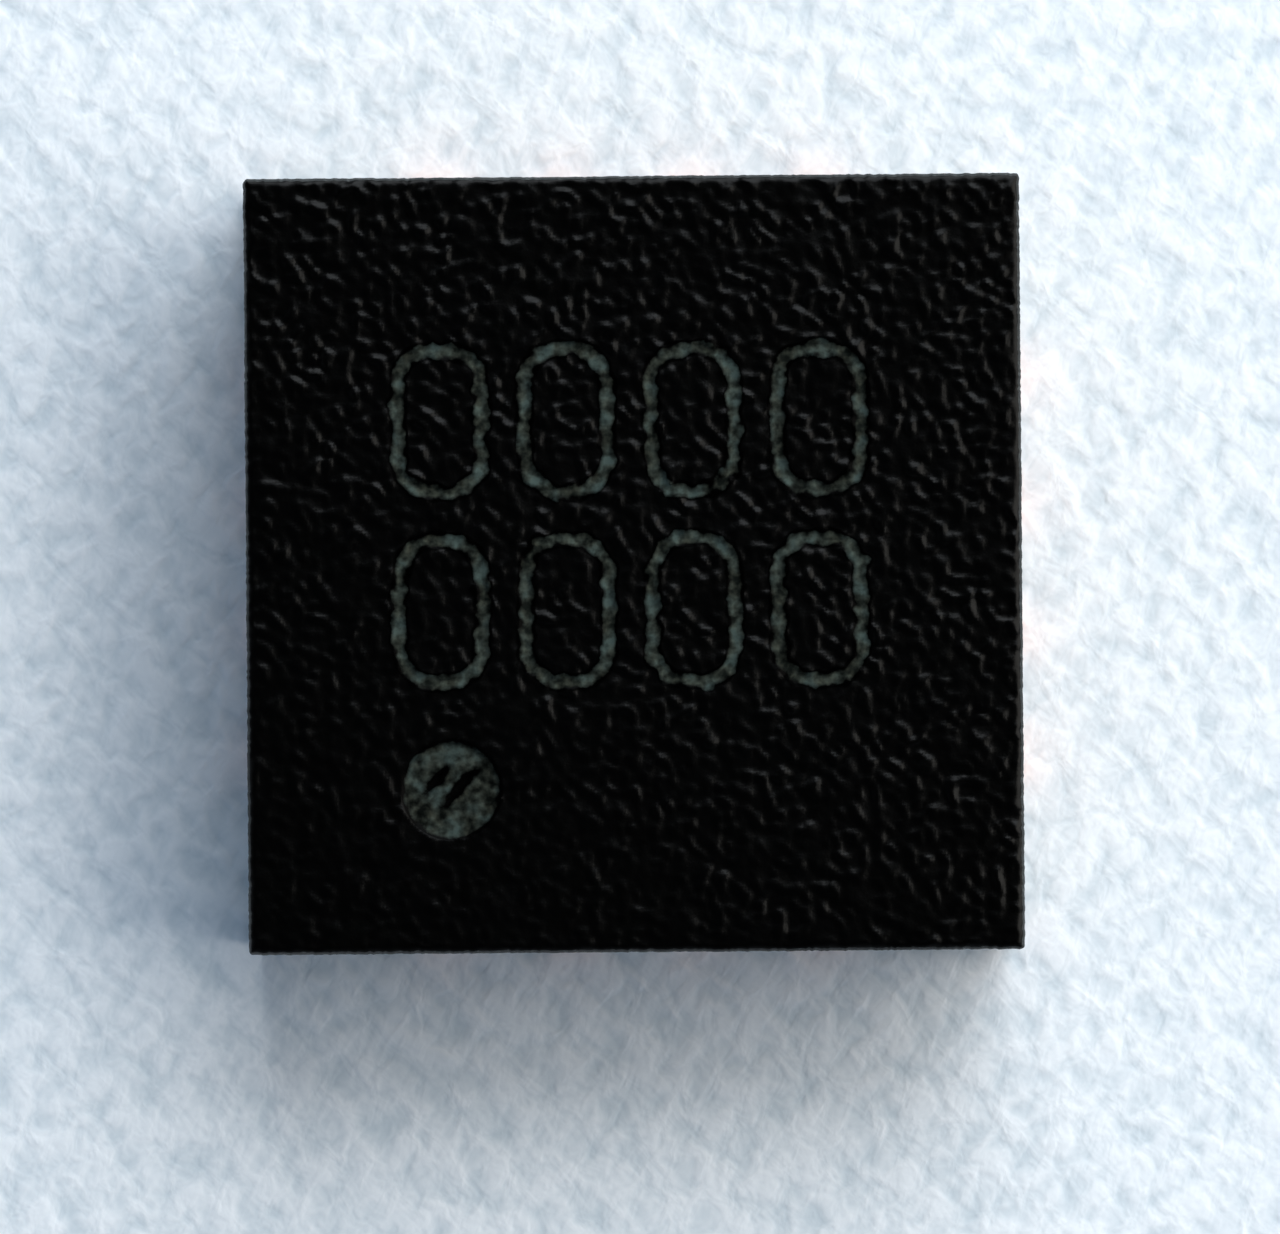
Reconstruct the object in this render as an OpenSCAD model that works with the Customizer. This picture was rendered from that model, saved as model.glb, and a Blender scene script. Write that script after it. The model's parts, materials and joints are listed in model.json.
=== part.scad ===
// Voltage regulator chip in a sawn no-lead package, in millimetres.
// The origin is the middle of the solder plane and +Z leaves the marked face.
// Pin one is the left lead of the front side, and the count runs anticlockwise seen from above.

/* [Package] */
// Side of the square package
package_side = 3; // [2.8:0.1:4]
// Height of the marked face above the solder plane
package_height = 0.9; // [0.8:0.05:1.2]
// How far the lands and the thermal pad stand out below the moulding
land_standoff = 0.02; // [0.01:0.005:0.05]

/* [Pin one mark] */
// Diameter of the round recess in the marked face
dot_diameter = 0.35; // [0.2:0.01:0.5]
// Depth of the recess
dot_depth = 0.02; // [0.01:0.005:0.04]
// Distance from the left side to the middle of the recess
dot_from_left = 0.79; // [0.4:0.01:1]
// Distance from the front side to the middle of the recess
dot_from_front = 0.635; // [0.4:0.005:1]

/* [Leadframe] */
// Thickness of the copper sheet
sheet_thickness = 0.203; // [0.18:0.001:0.254]
// Thickness that is left where the sheet is etched from below
etched_thickness = 0.1; // [0.06:0.01:0.12]
// Narrowest gap between two edges of the etched sheet
etched_gap = 0.1; // [0.06:0.01:0.12]

/* [Leads] */
// Leads along each side
leads_per_side = 4; // [2:1:4]
// Distance between the middles of two neighbouring leads
lead_pitch = 0.5; // [0.4:0.05:0.5]
// Width of a lead
lead_width = 0.25; // [0.18:0.01:0.3]
// Length of a solder land, in from the side of the package
land_length = 0.4; // [0.3:0.05:0.45]

/* [Thermal pad] */
// Distance between the lands and the thermal pad
land_to_pad = 0.25; // [0.2:0.01:0.3]
// Width of the half-etched rim round the pad
pad_rim = 0.05; // [0.03:0.01:0.06]
// Radius of the pad's corners
pad_corner_radius = 0.08; // [0.04:0.01:0.12]
// Length of the cut across the pad's pin one corner, along each edge
pad_corner_cut = 0.3; // [0.15:0.05:0.4]
// Width of the bars that tie the pad to the package's corners
tie_bar_width = 0.12; // [0.08:0.01:0.15]

/* [Die] */
// Length of the die, from left to right
die_length = 1.3; // [1:0.05:1.5]
// Width of the die, from front to back
die_width = 1.1; // [0.95:0.05:1.5]
// Thickness of the die
die_thickness = 0.2; // [0.1:0.01:0.28]
// Thickness of the adhesive under the die
adhesive_thickness = 0.025; // [0.015:0.005:0.05]
// How far the adhesive's fillet reaches out from the die
fillet_reach = 0.06; // [0.02:0.01:0.1]
// How far the adhesive's fillet climbs the side of the die
fillet_climb = 0.06; // [0.02:0.01:0.08]

/* [Bond wires] */
// Diameter of the wire
wire_diameter = 0.025; // [0.018:0.001:0.03]
// Diameter of the ball on the die
ball_diameter = 0.065; // [0.05:0.005:0.08]
// Height of the ball
ball_height = 0.02; // [0.015:0.001:0.03]
// Distance between two neighbouring balls
ball_pitch = 0.25; // [0.1:0.01:0.28]
// Distance from the edge of the die to the middle of a ball
ball_inset = 0.065; // [0.05:0.005:0.1]
// Height of the loop above the die
loop_height = 0.16; // [0.12:0.01:0.22]
// Radius of the bend where the wire turns towards its lead
loop_radius = 0.045; // [0.03:0.005:0.06]
// Angle at which the wire comes down to its lead
landing_angle = 35; // [25:1:45]
// Distance from the inner end of a lead to the end of the stitch
stitch_inset = 0.08; // [0.05:0.01:0.12]
// Length of the stitch
stitch_length = 0.07; // [0.05:0.005:0.1]
// Width of the stitch at its end
stitch_width = 0.045; // [0.035:0.005:0.06]
// Thickness of the stitch at its end
stitch_thickness = 0.006; // [0.004:0.001:0.01]

/* [Hidden] */
lead_count = 4 * leads_per_side;
land_thickness = sheet_thickness - etched_thickness;
pad_side = package_side - 2 * (land_length + land_to_pad);
tip_length = land_to_pad - pad_rim - etched_gap;
lead_length = land_length + tip_length;
die_bottom = sheet_thickness + adhesive_thickness;
die_top = die_bottom + die_thickness;
loop_top = die_top + loop_height;
wire_radius = wire_diameter / 2;

// Thickness of the adhesive at the top of its fillet
fillet_edge = 0.005;
// Latitude at which a ball is flattened against the die and runs into its wire
ball_latitude = 40;
// Height of a ball's shoulder as a share of the ball
ball_shoulder = 0.3;
// Rings are drawn round a wire with this many sides
wire_sides = 8;
// Steps along a wire's bend, its span and its stitch
bend_steps = 3;
span_steps = 6;
stitch_steps = 3;
// Pull of the loop's two ends on the curve between them, as shares of the span
loop_pull = 0.45;
landing_pull = 0.35;
round_steps = 64;

mould_black = "#1d1e20";
copper = "#b87a56";
silver_epoxy = "#a9a9a4";
silicon_grey = "#5b6068";
gold = "#d9b25a";

function two_digits(number) = str(number < 10 ? "0" : "", number);
function lead_name(number) = str("lead_", two_digits(number));
function wire_name(number) = str("bond_wire_", two_digits(number));

// The side that a lead is on: 0 front, 1 right, 2 back and 3 left
function side_of(number) = floor((number - 1) / leads_per_side);

// How many pitches a lead or a ball lies from the middle of its side
function place_of(number) = (number - 1) % leads_per_side - (leads_per_side - 1) / 2;

// A point of the front side, carried round to another side
function turned(point, side) = [
    point.x * cos(90 * side) - point.y * sin(90 * side),
    point.x * sin(90 * side) + point.y * cos(90 * side)
];

// The die is longer than it is wide, so its edges lie at two distances
function die_reach(side) = (side % 2 == 0 ? die_width : die_length) / 2;

function ball_spot(number) = turned(
    [place_of(number) * ball_pitch, ball_inset - die_reach(side_of(number))],
    side_of(number)
);

function stitch_spot(number) = turned(
    [place_of(number) * lead_pitch, lead_length - stitch_inset - package_side / 2],
    side_of(number)
);

function mix(first, last, share) = first * (1 - share) + last * share;

function curve_point(ends, share) =
    mix(
        mix(mix(ends[0], ends[1], share), mix(ends[1], ends[2], share), share),
        mix(mix(ends[1], ends[2], share), mix(ends[2], ends[3], share), share),
        share
    );

function curve_slope(ends, share) =
    let (
        step = mix(
            mix(ends[1] - ends[0], ends[2] - ends[1], share),
            mix(ends[2] - ends[1], ends[3] - ends[2], share),
            share
        )
    )
    atan2(step.y, step.x);

// Each ring of a wire: distance from the ball, height, slope, half width and half height
function ball_rings() = [
    for (latitude = [-ball_latitude, 0, ball_latitude])
        let (radius = ball_diameter / 2 * cos(latitude))
        [0, die_top + ball_height * (1 + sin(latitude) / sin(ball_latitude)) / 2, 90, radius, radius]
];

function bend_rings() = [
    [0, die_top + ball_height * (1 + ball_shoulder), 90, wire_radius, wire_radius],
    for (step = [0 : bend_steps])
        let (slope = 90 * (1 - step / bend_steps))
        [
            loop_radius * (1 - sin(slope)),
            loop_top - loop_radius * (1 - cos(slope)),
            slope,
            wire_radius,
            wire_radius
        ]
];

function span_rings(reach) =
    let (
        from = [loop_radius, loop_top],
        to = [reach - stitch_length, sheet_thickness + wire_radius],
        span = to.x - from.x,
        ends = [
            from,
            from + loop_pull * span * [1, 0],
            to + landing_pull * span * [-cos(landing_angle), sin(landing_angle)],
            to
        ]
    )
    [
        for (step = [1 : span_steps])
            let (spot = curve_point(ends, step / span_steps))
            [spot.x, spot.y, curve_slope(ends, step / span_steps), wire_radius, wire_radius]
    ];

// The stitch's underside lies flat on the lead
function stitch_rings(reach) = [
    for (step = [1 : stitch_steps])
        let (
            share = step / stitch_steps,
            half_height = mix(wire_radius, stitch_thickness / 2, share)
        )
        [
            reach - stitch_length * (1 - share),
            sheet_thickness + half_height,
            0,
            mix(wire_radius, stitch_width / 2, share),
            half_height
        ]
];

// The corners of one ring, with a flat side below
function ring_points(start, heading, ring) = [
    for (corner = [0 : wire_sides - 1])
        let (
            angle = 360 * (corner + 0.5) / wire_sides,
            across = ring[3] * cos(angle) / cos(180 / wire_sides),
            rise = ring[4] * sin(angle) / cos(180 / wire_sides),
            along = ring[0] - rise * sin(ring[2])
        )
        [
            start.x + along * cos(heading) + across * sin(heading),
            start.y + along * sin(heading) - across * cos(heading),
            ring[1] + rise * cos(ring[2])
        ]
];

function ring_faces(ring_count) = concat(
    [[for (corner = [wire_sides - 1 : -1 : 0]) corner]],
    [
        for (ring = [0 : ring_count - 2], corner = [0 : wire_sides - 1])
            let (
                first = ring * wire_sides + corner,
                next = ring * wire_sides + (corner + 1) % wire_sides
            )
            each [
                [first, next, next + wire_sides],
                [first, next + wire_sides, first + wire_sides]
            ]
    ],
    [[for (corner = [0 : wire_sides - 1]) (ring_count - 1) * wire_sides + corner]]
);

module centred_slab(length, width, bottom, top) {
    translate([-length / 2, -width / 2, bottom])
        cube([length, width, top - bottom]);
}

module rounded_square(side, radius) {
    square([side - 2 * radius, side], center = true);
    square([side, side - 2 * radius], center = true);
    for (x = [-1, 1], y = [-1, 1])
        translate([x, y] * (side / 2 - radius))
            circle(r = radius, $fn = round_steps);
}

// Four bars from the middle to the corners of the package, cut flush with its sides
module tie_bars_outline(width) {
    intersection() {
        square(package_side, center = true);
        union() {
            for (turn = [45, 135])
                rotate(turn)
                    square([2 * package_side, width], center = true);
        }
    }
}

module pad_outline(side, radius, corner_cut) {
    difference() {
        rounded_square(side, radius);
        translate([-side / 2, -side / 2])
            rotate(45)
                square(corner_cut * sqrt(2), center = true);
    }
}

// A lead of the front side, kept clear of the tie bars
module lead_outline(middle, length) {
    difference() {
        translate([middle, -package_side / 2]) {
            translate([-lead_width / 2, 0])
                square([lead_width, length - lead_width / 2]);
            translate([0, length - lead_width / 2])
                circle(d = lead_width, $fn = round_steps);
        }
        tie_bars_outline(tie_bar_width + 2 * etched_gap);
    }
}

module lead(number) {
    middle = place_of(number) * lead_pitch;
    color(copper)
        rotate(90 * side_of(number)) {
            linear_extrude(land_thickness)
                lead_outline(middle, land_length);
            translate([0, 0, land_thickness])
                linear_extrude(etched_thickness)
                    lead_outline(middle, lead_length);
        }
}

module die_paddle() {
    color(copper) {
        linear_extrude(land_thickness)
            pad_outline(pad_side, pad_corner_radius, pad_corner_cut);
        // The rim is as wide across the cut corner as along the edges
        translate([0, 0, land_thickness])
            linear_extrude(etched_thickness) {
                pad_outline(
                    pad_side + 2 * pad_rim,
                    pad_corner_radius + pad_rim,
                    pad_corner_cut + pad_rim * (2 - sqrt(2))
                );
                tie_bars_outline(tie_bar_width);
            }
    }
}

module silicon_die() {
    color(silicon_grey)
        centred_slab(die_length, die_width, die_bottom, die_top);
}

module die_attach() {
    foot = 2 * fillet_reach;
    edge = 2 * fillet_edge;
    color(silver_epoxy)
        difference() {
            translate([0, 0, sheet_thickness])
                linear_extrude(
                    adhesive_thickness + fillet_climb,
                    scale = [
                        (die_length + edge) / (die_length + foot),
                        (die_width + edge) / (die_width + foot)
                    ]
                )
                    square([die_length + foot, die_width + foot], center = true);
            silicon_die();
        }
}

module bond_wire(number) {
    start = ball_spot(number);
    end = stitch_spot(number);
    reach = norm(end - start);
    heading = atan2(end.y - start.y, end.x - start.x);
    rings = concat(ball_rings(), bend_rings(), span_rings(reach), stitch_rings(reach));
    color(gold)
        polyhedron(
            points = [for (ring = rings) each ring_points(start, heading, ring)],
            faces = ring_faces(len(rings))
        );
}

module pin_one_recess() {
    translate([
        dot_from_left - package_side / 2,
        dot_from_front - package_side / 2,
        package_height - dot_depth
    ])
        cylinder(h = 2 * dot_depth, d = dot_diameter, $fn = round_steps);
}

// The compound fills every space that the metal, the die and the wires leave
module mould_body() {
    color(mould_black)
        difference() {
            centred_slab(package_side, package_side, land_standoff, package_height);
            pin_one_recess();
            die_paddle();
            die_attach();
            silicon_die();
            for (number = [1 : lead_count]) {
                lead(number);
                bond_wire(number);
            }
        }
}

mould_body();
die_paddle();
die_attach();
silicon_die();
for (number = [1 : lead_count])
    lead(number);
for (number = [1 : lead_count])
    bond_wire(number);
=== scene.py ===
import json
import math

import bmesh
import bpy
import numpy as np
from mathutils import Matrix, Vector

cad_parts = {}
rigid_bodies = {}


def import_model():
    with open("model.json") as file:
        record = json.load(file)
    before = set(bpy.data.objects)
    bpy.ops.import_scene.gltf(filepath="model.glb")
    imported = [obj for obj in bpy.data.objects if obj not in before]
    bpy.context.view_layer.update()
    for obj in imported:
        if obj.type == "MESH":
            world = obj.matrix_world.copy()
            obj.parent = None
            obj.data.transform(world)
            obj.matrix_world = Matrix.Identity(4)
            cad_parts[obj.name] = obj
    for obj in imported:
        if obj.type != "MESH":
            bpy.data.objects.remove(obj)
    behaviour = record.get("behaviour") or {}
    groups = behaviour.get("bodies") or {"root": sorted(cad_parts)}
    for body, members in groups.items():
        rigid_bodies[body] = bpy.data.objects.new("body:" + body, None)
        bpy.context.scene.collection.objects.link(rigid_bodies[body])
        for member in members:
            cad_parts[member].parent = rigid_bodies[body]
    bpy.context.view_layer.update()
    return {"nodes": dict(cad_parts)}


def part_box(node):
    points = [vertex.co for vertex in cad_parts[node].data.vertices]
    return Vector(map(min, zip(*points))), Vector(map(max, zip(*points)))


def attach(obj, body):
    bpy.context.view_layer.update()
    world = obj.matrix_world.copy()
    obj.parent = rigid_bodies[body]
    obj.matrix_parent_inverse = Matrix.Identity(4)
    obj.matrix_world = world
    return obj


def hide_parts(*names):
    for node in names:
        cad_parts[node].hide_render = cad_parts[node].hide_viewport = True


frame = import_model()
nodes = frame["nodes"]
mm = 0.001  # the frame is in metres, the sizes below are in millimetres

bodyLow, bodyHigh = [np.array(corner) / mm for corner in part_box("mould_body")]
halfSide = bodyHigh[0]
print(f"Frame: {len(nodes)} nodes, package {2 * halfSide:.2f} mm square, {bodyHigh[2]:.2f} mm high")


# Helpers

def linear(hexText):
    # sRGB hex to the linear colour that a shader socket takes
    channels = [int(hexText[i:i + 2], 16) / 255 for i in (1, 3, 5)]
    return [c / 12.92 if c <= 0.04045 else ((c + 0.055) / 1.055) ** 2.4 for c in channels] + [1.0]


def addNode(tree, kind, inputs=None, **settings):
    # one shader node, with its settings and what feeds its sockets
    node = tree.nodes.new("ShaderNode" + kind)
    for name, value in settings.items():
        setattr(node, name, value)
    for socket, value in (inputs or {}).items():
        if isinstance(value, bpy.types.NodeSocket):
            tree.links.new(value, node.inputs[socket])
        else:
            node.inputs[socket].default_value = value
    return node


def newMaterial(name, values):
    # a Principled shader with the values that are the same all over the surface
    material = bpy.data.materials.new(name)
    material.use_nodes = True
    tree = material.node_tree
    shader = tree.nodes["Principled BSDF"]
    for socket, value in values.items():
        shader.inputs[socket].default_value = value
    place = addNode(tree, "TexCoord").outputs["Object"]
    return material, tree, shader, place


def feed(tree, node, sources):
    for socket, source in sources.items():
        tree.links.new(source, node.inputs[socket])


def finer(sizeMm):
    # a noise scale whose features come out about this many millimetres wide
    return 1 / (sizeMm * mm)


tileMm = 4.0  # a height tile repeats after this many millimetres
tilePoints = 1024


def noiseTile(seed, fineMm, coarseMm, stretch=1.0, leanDegrees=0.0):
    # a repeating height tile with bumps between two sizes, drawn out along a lean
    draw = np.random.default_rng(seed).standard_normal((tilePoints, tilePoints))
    waves = np.fft.fftfreq(tilePoints, tileMm / tilePoints)
    waveX, waveY = np.meshgrid(waves, waves, indexing="ij")
    lean = math.radians(leanDegrees)
    along = (waveX * math.cos(lean) + waveY * math.sin(lean)) * stretch
    across = waveY * math.cos(lean) - waveX * math.sin(lean)
    size = np.hypot(along, across)
    band = np.exp(-(size * fineMm) ** 2) * (1 - np.exp(-(size * coarseMm) ** 2))
    tile = np.fft.ifft2(np.fft.fft2(draw) * band).real
    return tile / tile.std()


def sampleTile(tile, x, y):
    # a tile's height at each place, blended from the four points round it
    u = np.asarray(x) / tileMm * tilePoints
    v = np.asarray(y) / tileMm * tilePoints
    i, j = np.floor(u).astype(int), np.floor(v).astype(int)
    fu, fv = u - i, v - j
    nextI, nextJ = (i + 1) % tilePoints, (j + 1) % tilePoints
    i, j = i % tilePoints, j % tilePoints
    low = tile[i, j] * (1 - fu) + tile[nextI, j] * fu
    high = tile[i, nextJ] * (1 - fu) + tile[nextI, nextJ] * fu
    return low * (1 - fv) + high * fv


def meshObject(name, points, faces):
    # points in millimetres, faces as lists of point numbers
    mesh = bpy.data.meshes.new(name)
    mesh.from_pydata((np.asarray(points) * mm).tolist(), [], faces)
    mesh.update()
    made = bpy.data.objects.new(name, mesh)
    bpy.context.scene.collection.objects.link(made)
    return made


samePoint = 1e-5  # mm between points of one corner


def mergedCopy(node, name):
    # a node's mesh with the points that its edges share joined, as a closed piece of its own
    form = bmesh.new()
    form.from_mesh(nodes[node].data)
    bmesh.ops.remove_doubles(form, verts=form.verts, dist=samePoint * mm)
    mesh = bpy.data.meshes.new(name)
    form.to_mesh(mesh)
    form.free()
    stored = mesh.attributes.get("custom_normal")
    if stored:
        mesh.attributes.remove(stored)  # shaded by its own faces, not by the frame's normals
    made = bpy.data.objects.new(name, mesh)
    bpy.context.scene.collection.objects.link(made)
    return made


# Camera: straight above, at the photograph's turn and offset

camera = {
    "lens": 200,
    "sensor": 36,
    "pictureWide": 1280,
    "pictureHigh": 1234,
    "chipAcross": 779,  # pixels across the marked face
    "chipAt": (634, 564),  # pixel in the middle of the marked face
    "turn": 0.46,  # degrees, anticlockwise in the picture
}

mmPerPixel = 2 * halfSide / camera["chipAcross"]
frameWide = camera["pictureWide"] * mmPerPixel
distance = frameWide / 2 * camera["lens"] / (camera["sensor"] / 2)
turn = math.radians(camera["turn"])
rightward = Vector((math.cos(turn), -math.sin(turn), 0))
upward = Vector((math.sin(turn), math.cos(turn), 0))
offRight = (camera["pictureWide"] / 2 - camera["chipAt"][0]) * mmPerPixel
offUp = (camera["chipAt"][1] - camera["pictureHigh"] / 2) * mmPerPixel
cameraAt = rightward * offRight + upward * offUp + Vector((0, 0, bodyHigh[2] + distance))

cameraData = bpy.data.cameras.new("camera")
cameraData.lens = camera["lens"]
cameraData.sensor_width = camera["sensor"]
cameraData.clip_start = 0.001
cameraData.clip_end = 1.0
cameraObject = bpy.data.objects.new("camera", cameraData)
cameraObject.location = cameraAt * mm
cameraObject.rotation_euler = (0, 0, -turn)
bpy.context.scene.collection.objects.link(cameraObject)
bpy.context.scene.camera = cameraObject
bpy.context.scene.view_settings.view_transform = "Standard"
print(f"Camera: {distance:.1f} mm above the marked face")


# Light: two wide soft windows, to the right and at the top of the picture, and a plain studio
# that is darker overhead. Its fill is a cool daylight, and what shines reflects its pale walls.

light = {
    "away": 60,  # mm
    "across": 60,  # mm, for a soft shadow
    "windows": (
        # degrees from +X towards +Y, degrees up, how light it makes a surface that faces it, colour
        (10, 33, 0.9, "#fffcf4"),
        (72, 33, 1.23, "#f3faff"),
    ),
    "fillColour": "#8cc8ff",
    "wallColour": "#d9e3ec",
    "skyOverhead": 0.02,
    "skyAround": 0.5,
    "skyRise": (0.15, 0.95),  # heights of a direction between which the sky darkens
}

for number, (azimuth, elevation, lightness, colour) in enumerate(light["windows"]):
    window = bpy.data.lights.new(f"window{number}", "AREA")
    window.shape = "DISK"
    window.size = light["across"] * mm
    window.energy = lightness * (math.pi * light["away"] * mm) ** 2
    window.color = linear(colour)[:3]
    toWindow = Vector((
        math.cos(math.radians(azimuth)) * math.cos(math.radians(elevation)),
        math.sin(math.radians(azimuth)) * math.cos(math.radians(elevation)),
        math.sin(math.radians(elevation)),
    ))
    windowObject = bpy.data.objects.new(f"window{number}", window)
    windowObject.location = toWindow * light["away"] * mm
    windowObject.rotation_euler = toWindow.to_track_quat("Z", "Y").to_euler()
    windowObject.visible_camera = False
    bpy.context.scene.collection.objects.link(windowObject)

studio = bpy.data.worlds.new("studio")
studio.use_nodes = True
bpy.context.scene.world = studio
sky = studio.node_tree
direction = addNode(sky, "TexCoord").outputs["Generated"]
rise = addNode(sky, "SeparateXYZ", {"Vector": direction}).outputs["Z"]
glow = addNode(sky, "MapRange", {
    "Value": rise,
    "From Min": light["skyRise"][0],
    "From Max": light["skyRise"][1],
    "To Min": light["skyAround"],
    "To Max": light["skyOverhead"],
}, interpolation_type="SMOOTHSTEP").outputs["Result"]
studioColour = addNode(sky, "Mix", {
    "Factor": addNode(sky, "LightPath").outputs["Is Glossy Ray"],
    6: linear(light["fillColour"]),
    7: linear(light["wallColour"]),
}, data_type="RGBA")
feed(sky, sky.nodes["Background"], {"Color": studioColour.outputs[2], "Strength": glow})
print("Light: two windows and the studio")


# Floor

floorSheet = {
    "halfSize": 200,
    "gap": 0.0005,  # below the lands
    "pale": "#f9fbfd",
    "dull": "#dce4e9",
    "relief": 0.016,
    "fibres": (
        # width, lean in degrees from +X, how far drawn out, share
        (0.075, 60, 1.6, 0.5),
        (0.12, 130, 1.6, 0.6),
    ),
}


def paperFloor():
    # Soft matte paper: two sets of short flat fibres that cross, pale where they lie on top
    material, tree, shader, place = newMaterial("mattePaper", {
        "Roughness": 0.9,
        "Specular IOR Level": 0.2,
    })
    layers = []
    for width, lean, drawnOut, share in floorSheet["fibres"]:
        drawn = addNode(tree, "Mapping", {
            "Vector": place,
            "Rotation": (0, 0, math.radians(lean)),
            "Scale": (drawnOut, 1.0, 1.0),
        }, vector_type="TEXTURE")
        fibres = addNode(tree, "TexNoise", {
            "Vector": drawn.outputs["Vector"],
            "Scale": finer(width),
            "Detail": 2.5,
            "Distortion": 0.3,
        })
        layers.append(addNode(tree, "Math", {
            0: fibres.outputs["Fac"],
            1: share,
        }, operation="MULTIPLY"))
    pulp = addNode(tree, "Math", {
        0: layers[0].outputs["Value"],
        1: layers[1].outputs["Value"],
    }, operation="ADD")
    onTop = addNode(tree, "MapRange", {
        "Value": pulp.outputs["Value"],
        "From Min": 0.38,
        "From Max": 0.62,
    })
    colour = addNode(tree, "Mix", {
        "Factor": onTop.outputs["Result"],
        6: linear(floorSheet["dull"]),
        7: linear(floorSheet["pale"]),
    }, data_type="RGBA")
    bump = addNode(tree, "Bump", {
        "Height": pulp.outputs["Value"],
        "Distance": floorSheet["relief"] * mm,
    })
    feed(tree, shader, {
        "Base Color": colour.outputs[2],
        "Normal": bump.outputs["Normal"],
    })
    return material


size = floorSheet["halfSize"]
floor = meshObject("floor", [
    (-size, -size, -floorSheet["gap"]),
    (size, -size, -floorSheet["gap"]),
    (size, size, -floorSheet["gap"]),
    (-size, size, -floorSheet["gap"]),
], [(0, 1, 2, 3)])
floor.data.materials.append(paperFloor())
print("Floor: paper sheet")


# Moulded body: block with a gritty top, sawn sides and laser marks, hollowed as the frame's body is

mouldBody = {
    # millimetres, where nothing else is said
    "cell": 0.0118,  # grid on the top face
    "edgeRound": 0.034,  # where the saw left the top edge
    "edgeSteps": (0, 0.12, 0.32, 0.62),  # shares of the rounding at which it is drawn
    "sawnSteps": 2,  # steps in from the edge that are dull from the saw
    "lipRings": (0.008, 0.02),  # close rings on the walls, below the rounding
    "cornerRound": 0.022,  # upright corners, at the top
    "cornerRoundBelow": 0.004,
    "cornerRoundOver": 0.2,  # how far down the corners sharpen
    "topDrop": 0.0065,  # the mean top lies this far below the frame's
    "grit": 0.0062,
    "gritSteep": 1.2,  # flat-topped crumbs with steep flanks
    "gritApart": 0.62,  # crumbs with flats between them
    "gritRagged": 0.28,
    "gritEven": 0.8,
    "gritPatchy": 0.22,
    "gritPatchLimits": (0.3, 1.1),
    "gritWorn": 0.45,  # share of the grit that is lost towards the front left corner
    "gritWornFrom": (0.5, 0.9, 0.3),  # direction across the face, and where the loss starts
    "gritWornOver": 2.0,
    "undulation": 0.0009,
    "wallStep": 0.052,
    "clearance": 0.0003,  # all of it stays this far inside the frame's body
    "sawLoss": 0.0009,
    "sawDrawn": 0.12,  # how much the saw's waves are drawn out along the wall
    "wallRow": 0.9,  # sets the rows of the height tiles that the walls read
    "edgeLoss": 0.0035,
    "edgeLossEven": 1.2,  # in edge losses, as the next
    "edgeLossMost": 5,
    "edgeLossReach": 0.05,
    "edgeLossDepth": 0.04,
    "sharpFrom": 60,  # degrees between faces
}

finishNumber = {"top": 0, "sawn": 1, "taped": 2}

gritTile = noiseTile(11, 0.056, 0.12, stretch=1.2, leanDegrees=-50)
crumbTile = noiseTile(17, 0.03, 0.06)
patchTile = noiseTile(16, 0.18, 0.4)
raggedTile = noiseTile(12, 0.07, 0.16)
swellTile = noiseTile(13, 0.14, 0.3)
edgeTile = noiseTile(14, 0.018, 0.08)
sawTile = noiseTile(15, 0.1, 0.24)

farOff = 9.0  # mm, farther away than any mark

marks = {
    # millimetres, where nothing else is said
    "firstAt": (-0.745, 0.555),  # middle of the upper left figure
    "pitch": 0.487,
    "rowPitch": 0.732,
    "perRow": 4,
    "rows": 2,
    "figure": (0.355, 0.585),
    "corner": 0.135,
    "stroke": 0.036,
    "depth": 0.008,
    "wall": 0.014,
    "ragged": 0.0048,
    "strokeBurn": 0.75,
    "dotBurn": 0.57,  # the beam ran lighter over the pin one mark
    "dotBurnEdge": 0.58,  # at its edge, from where the burn falls off
    "burnDepth": 0.06,  # nothing is burnt farther below the top
    "gritLost": 0.4,  # share of the grit that the beam melts
    "dotWider": 0.003,  # than the frame's recess, so that it clears it
    "dotDeeper": 0.004,
    "dotClear": 0.0005,  # its floor lies at least this far below the frame's
    "dotGrit": 0.3,  # share of the grit that shows on the recess's floor
    "slotDepth": 0.012,
    "slotSoot": 0.9,  # how far the slots take the burn back
    "slotLean": 48,  # degrees from +X
    "slots": (
        # right, up, length, width
        (-0.066, 0.031, 0.125, 0.032),
        (0.03, 0.01, 0.162, 0.034),
    ),
}


recessSearch = {
    # where the recess's points lie in the frame's body, in millimetres
    "fromWall": 0.01,
    "shallowest": 1e-4,
    "deepest": 0.1,
}


def recessPlace():
    # middle, radius and floor height of the pin one recess, read from the frame's body
    points = np.array([point.co for point in nodes["mould_body"].data.vertices]) / mm
    inside = np.abs(points[:, :2]).max(1) < halfSide - recessSearch["fromWall"]
    depth = bodyHigh[2] - points[:, 2]
    sunk = (depth > recessSearch["shallowest"]) & (depth < recessSearch["deepest"])
    seen = points[inside & sunk]
    middle = (seen[:, :2].min(0) + seen[:, :2].max(0)) / 2
    return middle, np.ptp(seen[:, 0]) / 2, seen[:, 2].min()


recessMiddle, recessRadius, recessFloor = recessPlace()


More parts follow.
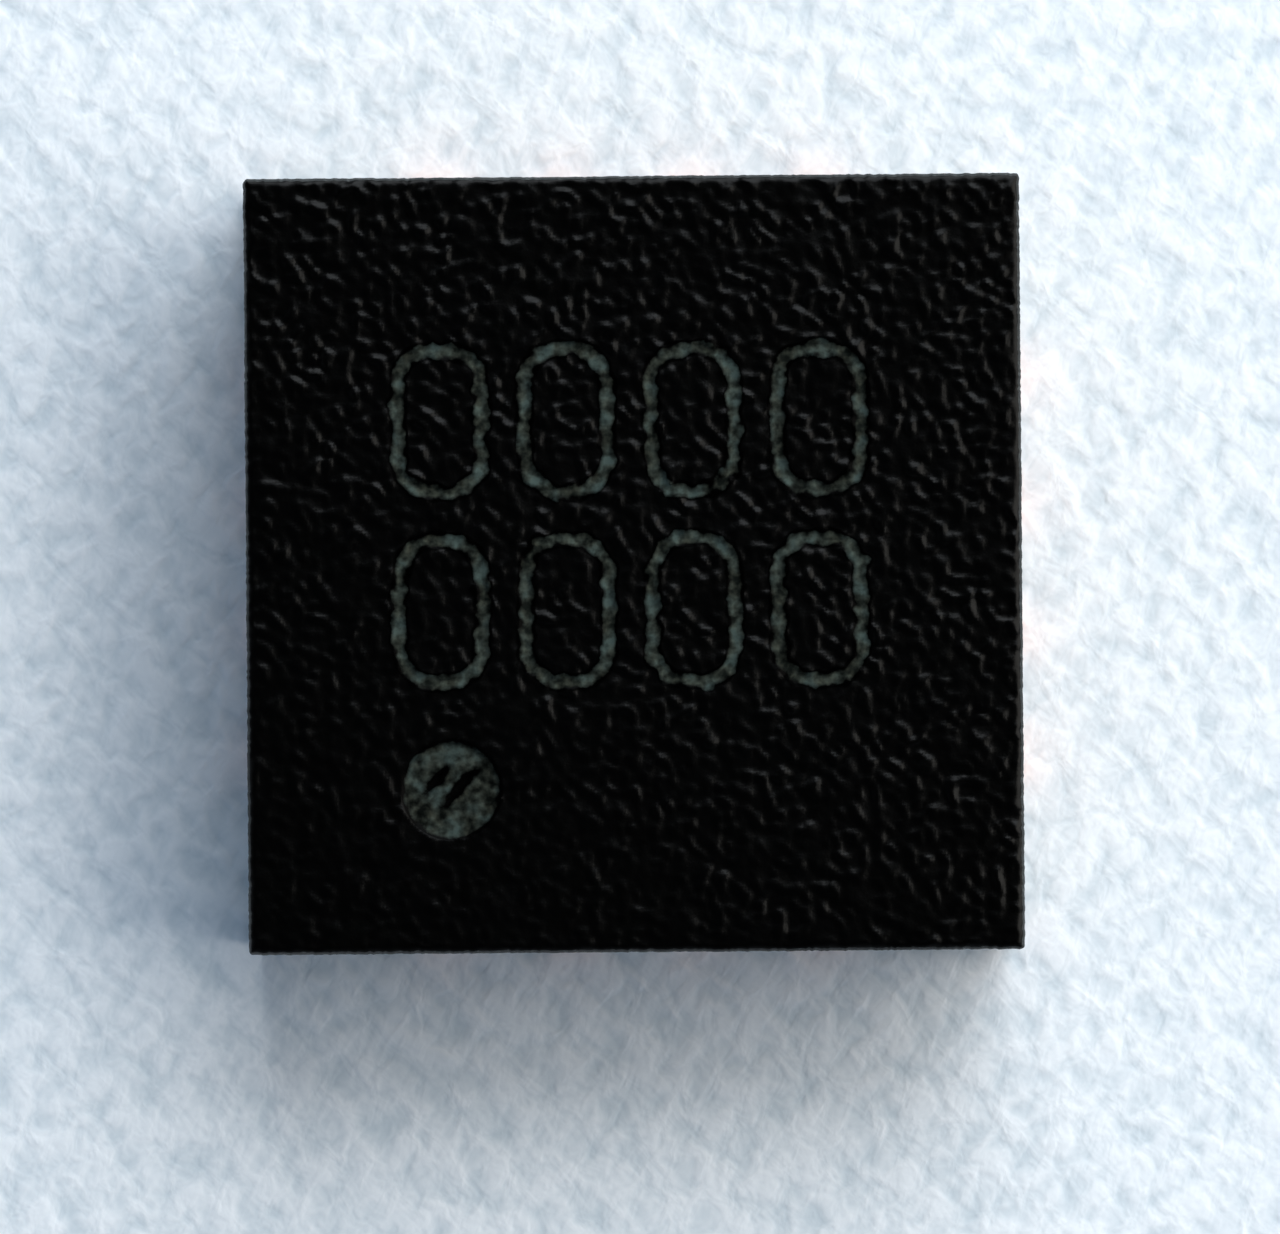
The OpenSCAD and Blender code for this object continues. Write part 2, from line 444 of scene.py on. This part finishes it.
def strokeDistance(x, y):
    # how far a place lies outside the nearest figure's stroke, less than zero inside it
    nearest = np.full(np.shape(x), farOff)
    reach = np.array(marks["figure"]) / 2 - marks["stroke"] / 2 - marks["corner"]
    for row in range(marks["rows"]):
        for column in range(marks["perRow"]):
            alongX = np.abs(x - marks["firstAt"][0] - column * marks["pitch"]) - reach[0]
            alongY = np.abs(y - marks["firstAt"][1] + row * marks["rowPitch"]) - reach[1]
            outside = np.hypot(np.maximum(alongX, 0), np.maximum(alongY, 0))
            outline = outside + np.minimum(np.maximum(alongX, alongY), 0) - marks["corner"]
            nearest = np.minimum(nearest, np.abs(outline) - marks["stroke"] / 2)
    return nearest + marks["ragged"] * sampleTile(raggedTile, x, y)


def recessDistance(x, y):
    # how far a place lies outside the pin one recess, less than zero inside it
    return np.hypot(x - recessMiddle[0], y - recessMiddle[1]) - recessRadius


def slotDistance(x, y):
    # how far a place lies outside the dark slots that the laser's hatch left in the pin one mark
    nearest = np.full(np.shape(x), farOff)
    lean = math.radians(marks["slotLean"])
    for side, shift, length, width in marks["slots"]:
        offX = x - recessMiddle[0] - side
        offY = y - recessMiddle[1] - shift
        along = (offX * math.cos(lean) + offY * math.sin(lean)) * width / length
        across = offY * math.cos(lean) - offX * math.sin(lean)
        nearest = np.minimum(nearest, np.hypot(along, across) - width / 2)
    return nearest


def smoothStep(value):
    # from 0 to 1 with no corner at either end
    value = np.clip(value, 0, 1)
    return value * value * (3 - 2 * value)


def topHeight(x, y):
    # height of the marked face above the solder plane
    height = bodyHigh[2] - mouldBody["topDrop"]
    height = height + mouldBody["undulation"] * sampleTile(swellTile, x, y)
    crumbs = sampleTile(gritTile, x, y) + mouldBody["gritRagged"] * sampleTile(crumbTile, x, y)
    rough = mouldBody["grit"] * np.tanh(mouldBody["gritSteep"] * (crumbs - mouldBody["gritApart"]))
    patches = mouldBody["gritEven"] + mouldBody["gritPatchy"] * sampleTile(patchTile, x, y)
    rough = rough * patches.clip(*mouldBody["gritPatchLimits"])
    right, back, start = mouldBody["gritWornFrom"]
    worn = smoothStep((start - right * x - back * y) / mouldBody["gritWornOver"])
    rough = rough * (1 - mouldBody["gritWorn"] * worn)
    stroke = smoothStep(0.5 - strokeDistance(x, y) / marks["wall"])
    recess = smoothStep(1 - (recessDistance(x, y) - marks["dotWider"]) / marks["wall"])
    slot = smoothStep(0.5 - slotDistance(x, y) / marks["wall"])
    height = height + rough * (1 - marks["gritLost"] * np.maximum(stroke, recess))
    height = height - marks["depth"] * stroke
    floorHeight = recessFloor - marks["dotDeeper"] + marks["dotGrit"] * rough
    floorHeight = np.minimum(floorHeight - marks["slotDepth"] * slot, recessFloor - marks["dotClear"])
    height = height * (1 - recess) + floorHeight * recess
    return np.minimum(height, bodyHigh[2] - mouldBody["clearance"])


def pulledIn(x, y, z):
    # upright corners rounded and walls worn back, from the plan of a sharp square
    below = bodyHigh[2] - z
    sharpened = np.exp(-below / mouldBody["cornerRoundOver"])
    lost = mouldBody["cornerRound"] - mouldBody["cornerRoundBelow"]
    radius = mouldBody["cornerRoundBelow"] + sharpened * lost
    outX = np.clip((np.abs(x) - halfSide + radius) / radius, 0, 1)
    outY = np.clip((np.abs(y) - halfSide + radius) / radius, 0, 1)
    moved = []
    for here, other, mine, theirs in ((x, y, outX, outY), (y, x, outY, outX)):
        rounding = radius * mine * (1 - np.sqrt(1 - theirs * theirs / 2))
        row = np.sign(here) * mouldBody["wallRow"] + (2 * mouldBody["wallRow"] if here is y else 0)
        chips = mouldBody["edgeLossEven"] + sampleTile(edgeTile, other, row)
        wear = mouldBody["edgeLoss"] * chips.clip(0, mouldBody["edgeLossMost"])
        wear = wear * np.exp(-below / mouldBody["edgeLossDepth"])
        drawn = other * mouldBody["sawDrawn"]
        saw = mouldBody["sawLoss"] * (1 + np.abs(sampleTile(sawTile, drawn, z + row)))
        fade = np.exp(-(halfSide - np.abs(here)) / mouldBody["edgeLossReach"])
        moved.append(here - np.sign(here) * (rounding + (mouldBody["clearance"] + wear + saw) * fade))
    return moved[0], moved[1]


def bodyBlock():
    # the block before it is hollowed: gridded top, ringed walls and one flat underside
    edge = mouldBody["edgeRound"]
    steps = edge * np.array(mouldBody["edgeSteps"])
    inner = halfSide - edge
    middle = np.linspace(-inner, inner, int(round(2 * inner / mouldBody["cell"])) + 1)
    lines = np.concatenate([-halfSide + steps, middle, halfSide - steps[::-1]])
    count = len(lines)
    gridX, gridY = np.meshgrid(lines, lines, indexing="ij")
    toWall = halfSide - np.maximum(np.abs(gridX), np.abs(gridY))
    inRound = np.clip(1 - toWall / edge, 0, 1)
    drop = edge * (1 - np.sqrt(1 - inRound ** 2))
    plain = bodyHigh[2] - mouldBody["topDrop"]
    height = plain + (topHeight(gridX, gridY) - plain) * (1 - inRound) - drop
    placeX, placeY = pulledIn(gridX, gridY, height)
    points = [np.stack([placeX, placeY, height], -1).reshape(-1, 3)]

    number = np.arange(count * count).reshape(count, count)
    faces = np.stack([number[:-1, :-1], number[1:, :-1], number[1:, 1:], number[:-1, 1:]], -1)
    faces = faces.reshape(-1, 4).tolist()
    fromEdge = np.minimum(np.arange(count - 1), np.arange(count - 1)[::-1])
    onEdge = np.minimum(*np.meshgrid(fromEdge, fromEdge, indexing="ij")) < mouldBody["sawnSteps"]
    finishes = np.where(onEdge, finishNumber["sawn"], finishNumber["top"]).ravel().tolist()
    ring = np.concatenate([number[:-1, 0], number[-1, :-1], number[:0:-1, -1], number[0, :0:-1]])
    ringX, ringY = gridX.ravel()[ring], gridY.ravel()[ring]
    wallTop = plain - edge
    wallFoot = bodyLow[2] + mouldBody["clearance"]
    down = int(round((wallTop - wallFoot) / mouldBody["wallStep"]))
    levels = wallTop - (wallTop - wallFoot) * np.linspace(0, 1, down + 1)[1:]
    levels = np.concatenate([[wallTop - step for step in mouldBody["lipRings"]], levels])
    above = ring
    total = count * count
    for level in levels:
        z = np.full(len(ring), level)
        placeX, placeY = pulledIn(ringX, ringY, z)
        points.append(np.stack([placeX, placeY, z], -1))
        under = total + np.arange(len(ring))
        faces += np.stack([above, under, np.roll(under, -1), np.roll(above, -1)], -1).tolist()
        finishes += [finishNumber["sawn"]] * len(ring)
        above = under
        total += len(ring)
    faces.append(above[::-1].tolist())
    finishes.append(finishNumber["taped"])
    return meshObject("bodyBlock", np.concatenate(points), faces), finishes


def hollowed(block, finishes):
    # the part of the block that the frame's body holds, so every pocket fits its piece
    hollow = mergedCopy("mould_body", "bodyHollow")
    for made, numbers in ((block, finishes), (hollow, [finishNumber["taped"]] * len(hollow.data.polygons))):
        made.data.materials.clear()
        for material in bodyFinishes:
            made.data.materials.append(material)
        made.data.polygons.foreach_set("material_index", numbers)
    cut = block.modifiers.new("pockets", "BOOLEAN")
    cut.operation = "INTERSECT"
    cut.solver = "MANIFOLD"
    cut.object = hollow
    shaped = bpy.data.meshes.new_from_object(
        block.evaluated_get(bpy.context.evaluated_depsgraph_get()))
    shaped.name = "moulded_body"
    made = bpy.data.objects.new("moulded_body", shaped)
    bpy.context.scene.collection.objects.link(made)
    for old in (block, hollow):
        bpy.data.objects.remove(old)
    return made


def mouldedTop():
    # Moulded epoxy from a spark-eroded tool: black, satin, with a grit that glints towards the lamp.
    # The laser burns the black resin off and leaves a dull scale, from olive to grey-blue, with soot
    # beside it.
    material, tree, shader, place = newMaterial("mouldedEpoxyTop", {"IOR": 1.55})
    burnt = addNode(tree, "Attribute", attribute_name="laser").outputs["Fac"]
    speckle = addNode(tree, "TexNoise", {"Vector": place, "Scale": finer(0.034), "Detail": 2.0})
    blotch = addNode(tree, "TexNoise", {"Vector": place, "Scale": finer(0.09), "Detail": 2.0})
    fray = addNode(tree, "MapRange", {
        "Value": blotch.outputs["Fac"],
        "From Min": 0.3,
        "From Max": 0.7,
        "To Min": -0.2,
        "To Max": 0.2,
    }, clamp=False)
    grain = addNode(tree, "MapRange", {
        "Value": speckle.outputs["Fac"],
        "From Min": 0.3,
        "From Max": 0.7,
        "To Min": -0.16,
        "To Max": 0.16,
    }, clamp=False)
    edges = addNode(tree, "Math", {
        0: fray.outputs["Result"],
        1: grain.outputs["Result"],
    }, operation="ADD")
    frayed = addNode(tree, "Math", {0: burnt, 1: edges.outputs["Value"]}, operation="ADD")
    mask = addNode(tree, "MapRange", {
        "Value": frayed.outputs["Value"],
        "From Min": 0.17,
        "From Max": 0.87,
    }).outputs["Result"]
    resin = addNode(tree, "Mix", {
        "Factor": blotch.outputs["Fac"],
        6: linear("#000000"),
        7: linear("#020202"),
    }, data_type="RGBA")
    mottle = addNode(tree, "Math", {
        0: speckle.outputs["Fac"],
        1: blotch.outputs["Fac"],
    }, operation="ADD")
    crumbs = addNode(tree, "MapRange", {
        "Value": mottle.outputs["Value"],
        "From Min": 0.78,
        "From Max": 1.22,
    })
    hue = addNode(tree, "MapRange", {
        "Value": blotch.outputs["Fac"],
        "From Min": 0.35,
        "From Max": 0.65,
    })
    paleScale = addNode(tree, "Mix", {
        "Factor": hue.outputs["Result"],
        6: linear("#48493e"),
        7: linear("#3f4a46"),
    }, data_type="RGBA")
    scale = addNode(tree, "Mix", {
        "Factor": crumbs.outputs["Result"],
        6: linear("#1e221e"),
        7: paleScale.outputs[2],
    }, data_type="RGBA")
    colour = addNode(tree, "Mix", {
        "Factor": mask,
        6: resin.outputs[2],
        7: scale.outputs[2],
    }, data_type="RGBA")
    roughness = addNode(tree, "MapRange", {"Value": mask, "To Min": 0.31, "To Max": 0.8})
    shine = addNode(tree, "MapRange", {
        "Value": burnt,
        "From Min": -0.35,
        "From Max": -0.05,
        "To Min": 0.094,
        "To Max": 0.015,
    })
    bump = addNode(tree, "Bump", {"Height": speckle.outputs["Fac"], "Distance": 0.0018 * mm})
    feed(tree, shader, {
        "Base Color": colour.outputs[2],
        "Roughness": roughness.outputs["Result"],
        "Specular IOR Level": shine.outputs["Result"],
        "Normal": bump.outputs["Normal"],
    })
    return material


def sawLines(tree, place, apart):
    # fine lines that run level along a wall, where a saw went through
    drawn = addNode(tree, "Mapping", {"Vector": place, "Scale": (0.015, 0.015, 1.0)})
    return addNode(tree, "TexNoise", {
        "Vector": drawn.outputs["Vector"],
        "Scale": finer(apart),
        "Detail": 3.0,
        "Roughness": 0.7,
    })


def sawnEpoxy():
    # The same epoxy cut by a diamond saw: dull and a shade greyer, with cut filler grains and the
    # blade's lines, which are about 5 microns apart and drawn at 16 so that they show
    material, tree, shader, place = newMaterial("sawnEpoxy", {
        "IOR": 1.55,
        "Specular IOR Level": 0.3,
    })
    grains = addNode(tree, "TexVoronoi", {"Vector": place, "Scale": finer(0.021)})
    grainSize = addNode(tree, "MapRange", {
        "Value": grains.outputs["Distance"],
        "From Min": 0.2,
        "From Max": 0.5,
        "To Min": 1.0,
        "To Max": 0.0,
    })
    chosen = addNode(tree, "SeparateColor", {"Color": grains.outputs["Color"]})
    grain = addNode(tree, "Math", {
        0: grainSize.outputs["Result"],
        1: chosen.outputs["Red"],
    }, operation="MULTIPLY")
    lines = sawLines(tree, place, 0.016)
    resin = addNode(tree, "Mix", {
        "Factor": lines.outputs["Fac"],
        6: linear("#0d0f0f"),
        7: linear("#242726"),
    }, data_type="RGBA")
    colour = addNode(tree, "Mix", {
        "Factor": grain.outputs["Value"],
        6: resin.outputs[2],
        7: linear("#393c3b"),
    }, data_type="RGBA")
    roughness = addNode(tree, "MapRange", {
        "Value": lines.outputs["Fac"],
        "From Min": 0.3,
        "From Max": 0.7,
        "To Min": 0.42,
        "To Max": 0.7,
    })
    relief = addNode(tree, "Math", {
        0: grain.outputs["Value"],
        1: lines.outputs["Fac"],
    }, operation="ADD")
    bump = addNode(tree, "Bump", {"Height": relief.outputs["Value"], "Distance": 0.0022 * mm})
    feed(tree, shader, {
        "Base Color": colour.outputs[2],
        "Roughness": roughness.outputs["Result"],
        "Normal": bump.outputs["Normal"],
    })
    return material


def tapedEpoxy():
    # The epoxy that set against the panel's backing tape: smoother, with the tape's faint dimples
    # and the swirls of the resin's flow
    material, tree, shader, place = newMaterial("tapedEpoxy", {
        "IOR": 1.55,
        "Specular IOR Level": 0.35,
    })
    flow = addNode(tree, "TexNoise", {
        "Vector": place,
        "Scale": finer(0.16),
        "Detail": 4.0,
        "Distortion": 1.2,
    })
    dimples = addNode(tree, "TexNoise", {"Vector": place, "Scale": finer(0.028), "Detail": 2.0})
    swirl = addNode(tree, "MapRange", {
        "Value": flow.outputs["Fac"],
        "From Min": 0.35,
        "From Max": 0.65,
    })
    colour = addNode(tree, "Mix", {
        "Factor": swirl.outputs["Result"],
        6: linear("#0b0c0d"),
        7: linear("#1f2122"),
    }, data_type="RGBA")
    roughness = addNode(tree, "MapRange", {
        "Value": swirl.outputs["Result"],
        "To Min": 0.34,
        "To Max": 0.6,
    })
    bump = addNode(tree, "Bump", {"Height": dimples.outputs["Fac"], "Distance": 0.003 * mm})
    feed(tree, shader, {
        "Base Color": colour.outputs[2],
        "Roughness": roughness.outputs["Result"],
        "Normal": bump.outputs["Normal"],
    })
    return material


bodyFinishes = (mouldedTop(), sawnEpoxy(), tapedEpoxy())  # as finishNumber counts them


def burnIn(body):
    # how far the laser burnt each point of the marked face, falling to -1 beside the burn
    points = np.empty(len(body.data.vertices) * 3)
    body.data.vertices.foreach_get("co", points)
    x, y, z = (points.reshape(-1, 3) / mm).T
    fade = 2 * marks["wall"]
    figures = np.clip(0.5 - strokeDistance(x, y) / fade, -1, marks["strokeBurn"])
    dot = np.clip(marks["dotBurnEdge"] - recessDistance(x, y) / fade, -1, marks["dotBurn"])
    dot = dot - marks["slotSoot"] * np.clip(0.5 - slotDistance(x, y) / fade, 0, 1)
    burnt = np.where(z > bodyHigh[2] - marks["burnDepth"], np.maximum(figures, dot), -1)
    body.data.attributes.new("laser", "FLOAT", "POINT").data.foreach_set("value", burnt)


block, finishes = bodyBlock()
mouldedBody = hollowed(block, finishes)
burnIn(mouldedBody)
mouldedBody.data.set_sharp_from_angle(angle=math.radians(mouldBody["sharpFrom"]))
for face in mouldedBody.data.polygons:
    face.use_smooth = face.material_index != finishNumber["taped"]
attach(mouldedBody, "root")
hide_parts("mould_body")
print(f"Moulded body: {len(mouldedBody.data.polygons)} faces")


# Leads and paddle: etched copper, tinned below, bare where the saw went through

leadframe = {
    # millimetres, where nothing else is said
    "rim": 0.007,  # rounded edge of the tinned lands
    "rimSteps": 3,
    "rimTurn": 30,  # degrees from which an edge is rounded
    "level": 1e-4,  # points this close lie on one plane
    "nearWall": 0.001,  # edges this close to the package's sides stay as the saw left them
    "sharpFrom": 35,  # degrees between faces
}

leadFinish = {"tinned": 0, "sawn": 1, "etched": 2}


def matteTin():
    # Plated matte tin: pale grey metal with a fine satin crystal grain
    material, tree, shader, place = newMaterial("matteTin", {"Metallic": 1.0})
    crystals = addNode(tree, "TexVoronoi", {"Vector": place, "Scale": finer(0.02)})
    cloud = addNode(tree, "TexNoise", {"Vector": place, "Scale": finer(0.15), "Detail": 3.0})
    shade = addNode(tree, "SeparateColor", {"Color": crystals.outputs["Color"]})
    mixed = addNode(tree, "Math", {
        0: shade.outputs["Green"],
        1: cloud.outputs["Fac"],
    }, operation="MULTIPLY")
    colour = addNode(tree, "Mix", {
        "Factor": mixed.outputs["Value"],
        6: linear("#cfcec9"),
        7: linear("#aeada8"),
    }, data_type="RGBA")
    roughness = addNode(tree, "MapRange", {
        "Value": mixed.outputs["Value"],
        "To Min": 0.36,
        "To Max": 0.52,
    })
    bump = addNode(tree, "Bump", {"Height": crystals.outputs["Distance"], "Distance": 0.0012 * mm})
    feed(tree, shader, {
        "Base Color": colour.outputs[2],
        "Roughness": roughness.outputs["Result"],
        "Normal": bump.outputs["Normal"],
    })
    return material


def sawnCopper():
    # Bare copper where the saw cut the panel: pinkish, brushed along the wall, a little tarnished
    material, tree, shader, place = newMaterial("sawnCopper", {"Metallic": 1.0})
    lines = sawLines(tree, place, 0.009)
    tarnish = addNode(tree, "TexNoise", {"Vector": place, "Scale": finer(0.09), "Detail": 3.0})
    colour = addNode(tree, "Mix", {
        "Factor": tarnish.outputs["Fac"],
        6: linear("#e2a283"),
        7: linear("#bd7c5c"),
    }, data_type="RGBA")
    roughness = addNode(tree, "MapRange", {
        "Value": lines.outputs["Fac"],
        "To Min": 0.28,
        "To Max": 0.5,
    })
    bump = addNode(tree, "Bump", {"Height": lines.outputs["Fac"], "Distance": 0.0008 * mm})
    feed(tree, shader, {
        "Base Color": colour.outputs[2],
        "Roughness": roughness.outputs["Result"],
        "Normal": bump.outputs["Normal"],
    })
    return material


def etchedCopper():
    # Copper as the etch left it under the moulding: matte, evenly pitted
    material, tree, shader, place = newMaterial("etchedCopper", {"Metallic": 1.0})
    pits = addNode(tree, "TexNoise", {"Vector": place, "Scale": finer(0.02), "Detail": 3.0})
    colour = addNode(tree, "Mix", {
        "Factor": pits.outputs["Fac"],
        6: linear("#a86a4c"),
        7: linear("#c4825f"),
    }, data_type="RGBA")
    roughness = addNode(tree, "MapRange", {
        "Value": pits.outputs["Fac"],
        "To Min": 0.45,
        "To Max": 0.65,
    })
    bump = addNode(tree, "Bump", {"Height": pits.outputs["Fac"], "Distance": 0.002 * mm})
    feed(tree, shader, {
        "Base Color": colour.outputs[2],
        "Roughness": roughness.outputs["Result"],
        "Normal": bump.outputs["Normal"],
    })
    return material


leadframeFinishes = (matteTin(), sawnCopper(), etchedCopper())  # as leadFinish counts them


def platedCopy(node):
    # the node's own form, cut where it enters the moulding, so that only what stands out is tinned,
    # and with the edges of its tinned face rounded
    piece = mergedCopy(node, "plated_" + node)
    form = bmesh.new()
    form.from_mesh(piece.data)
    bmesh.ops.bisect_plane(
        form,
        geom=form.verts[:] + form.edges[:] + form.faces[:],
        dist=leadframe["level"] * mm,
        plane_co=(0, 0, bodyLow[2] * mm),
        plane_no=(0, 0, 1),
    )
    low = min(point.co.z for point in form.verts)
    rim = []
    for edge in form.edges:
        onLow = all(abs(point.co.z - low) < leadframe["level"] * mm for point in edge.verts)
        turned = edge.is_manifold and edge.calc_face_angle() > math.radians(leadframe["rimTurn"])
        middle = (edge.verts[0].co + edge.verts[1].co) / 2 / mm
        atWall = max(abs(middle.x), abs(middle.y)) > halfSide - leadframe["nearWall"]
        if onLow and turned and not atWall:
            rim.append(edge)
    bmesh.ops.bevel(
        form,
        geom=rim,
        offset=leadframe["rim"] * mm,
        segments=leadframe["rimSteps"],
        profile=0.5,
        affect="EDGES",
    )
    form.to_mesh(piece.data)
    form.free()
    piece.data.materials.clear()
    for material in leadframeFinishes:
        piece.data.materials.append(material)
    for face in piece.data.polygons:
        middle = face.center / mm
        if max(abs(middle.x), abs(middle.y)) > halfSide - leadframe["level"]:
            finish = "sawn"
        elif middle.z < bodyLow[2]:
            finish = "tinned"
        else:
            finish = "etched"
        face.material_index = leadFinish[finish]
        face.use_smooth = True
    piece.data.set_sharp_from_angle(angle=math.radians(leadframe["sharpFrom"]))
    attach(piece, "root")
    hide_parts(node)
    return piece


leadNames = sorted(name for name in nodes if name.startswith("lead_"))
for name in leadNames + ["die_paddle"]:
    platedCopy(name)
print(f"Leadframe: {len(leadNames)} leads and the paddle")


# Inside the moulding: the frame's own die and film with their finishes, and the bonding wires

insideFinish = {
    "polished": 0.002,  # mm below the die's top face that still counts as that face
    "wireSharpFrom": 50,  # degrees between faces
}

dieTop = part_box("silicon_die")[1][2]  # in metres


def polishedSilicon():
    # Silicon die, polished and patterned: blue-grey, with blocks of circuit of several kinds, between
    # aluminium tracks, under a clear glass. Its cells are far finer, and drawn coarse so that they
    # show. The sides are plain sawn silicon.
    material, tree, shader, place = newMaterial("polishedSilicon", {
        "Metallic": 0.6,
        "Coat Weight": 0.4,
        "Coat Roughness": 0.08,
    })
    blocks = addNode(tree, "TexBrick", {
        "Vector": place,
        "Scale": finer(1.0),
        "Color1": linear("#000000"),
        "Color2": linear("#ffffff"),
        "Mortar Size": 0.011,
        "Brick Width": 0.52,
        "Row Height": 0.31,
    }, offset=0.36, offset_frequency=3, squash=0.55, squash_frequency=2)
    kind = addNode(tree, "SeparateColor", {"Color": blocks.outputs["Color"]})
    cells = addNode(tree, "TexBrick", {
        "Vector": place,
        "Scale": finer(1.0),
        "Color1": linear("#6d7783"),
        "Color2": linear("#3a4350"),
        "Mortar": linear("#2b323d"),
        "Mortar Size": 0.003,
        "Brick Width": 0.043,
        "Row Height": 0.019,
    }, offset=0.0)
    circuit = addNode(tree, "Mix", {
        "Factor": kind.outputs["Red"],
        6: linear("#4b5664"),
        7: cells.outputs["Color"],
    }, data_type="RGBA")
    tracked = addNode(tree, "Mix", {
        "Factor": blocks.outputs["Fac"],
        6: circuit.outputs[2],
        7: linear("#a9a294"),
    }, data_type="RGBA")
    height = addNode(tree, "SeparateXYZ", {"Vector": place})
    onFace = addNode(tree, "Math", {
        0: height.outputs["Z"],
        1: dieTop - insideFinish["polished"] * mm,
    }, operation="GREATER_THAN")
    colour = addNode(tree, "Mix", {
        "Factor": onFace.outputs["Value"],
        6: linear("#474a4e"),
        7: tracked.outputs[2],
    }, data_type="RGBA")
    roughness = addNode(tree, "MapRange", {
        "Value": kind.outputs["Red"],
        "To Min": 0.18,
        "To Max": 0.34,
    })
    feed(tree, shader, {
        "Base Color": colour.outputs[2],
        "Roughness": roughness.outputs["Result"],
    })
    return material


def silverEpoxy():
    # Die attach: silver flakes in cured resin, pale grey with a broken sparkle
    material, tree, shader, place = newMaterial("silverEpoxy", {"Metallic": 0.7})
    flakes = addNode(tree, "TexVoronoi", {"Vector": place, "Scale": finer(0.012)})
    shade = addNode(tree, "SeparateColor", {"Color": flakes.outputs["Color"]})
    colour = addNode(tree, "Mix", {
        "Factor": shade.outputs["Red"],
        6: linear("#8f8d88"),
        7: linear("#c9c7c0"),
    }, data_type="RGBA")
    roughness = addNode(tree, "MapRange", {
        "Value": shade.outputs["Blue"],
        "To Min": 0.3,
        "To Max": 0.6,
    })
    bump = addNode(tree, "Bump", {"Height": flakes.outputs["Distance"], "Distance": 0.002 * mm})
    feed(tree, shader, {
        "Base Color": colour.outputs[2],
        "Roughness": roughness.outputs["Result"],
        "Normal": bump.outputs["Normal"],
    })
    return material


def drawnGold():
    # Gold bonding wire, drawn through a die: bright yellow with hairlines along it
    material, tree, shader, place = newMaterial("drawnGold", {"Metallic": 1.0})
    hairs = addNode(tree, "TexNoise", {"Vector": place, "Scale": finer(0.004), "Detail": 2.0})
    colour = addNode(tree, "Mix", {
        "Factor": hairs.outputs["Fac"],
        6: linear("#d99a3a"),
        7: linear("#f0bf62"),
    }, data_type="RGBA")
    roughness = addNode(tree, "MapRange", {
        "Value": hairs.outputs["Fac"],
        "To Min": 0.18,
        "To Max": 0.32,
    })
    feed(tree, shader, {
        "Base Color": colour.outputs[2],
        "Roughness": roughness.outputs["Result"],
    })
    return material


nodes["silicon_die"].material_slots[0].material = polishedSilicon()
nodes["die_attach"].material_slots[0].material = silverEpoxy()

wireFinish = drawnGold()
wireNames = sorted(name for name in nodes if name.startswith("bond_wire_"))
for name in wireNames:
    # the node's own form, shaded as the round wire that it is
    wire = mergedCopy(name, "drawn_" + name)
    wire.data.materials.clear()
    wire.data.materials.append(wireFinish)
    wire.data.set_sharp_from_angle(angle=math.radians(insideFinish["wireSharpFrom"]))
    for face in wire.data.polygons:
        face.use_smooth = True
    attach(wire, "root")
    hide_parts(name)
print(f"Inside: die, its film and {len(wireNames)} bonding wires")
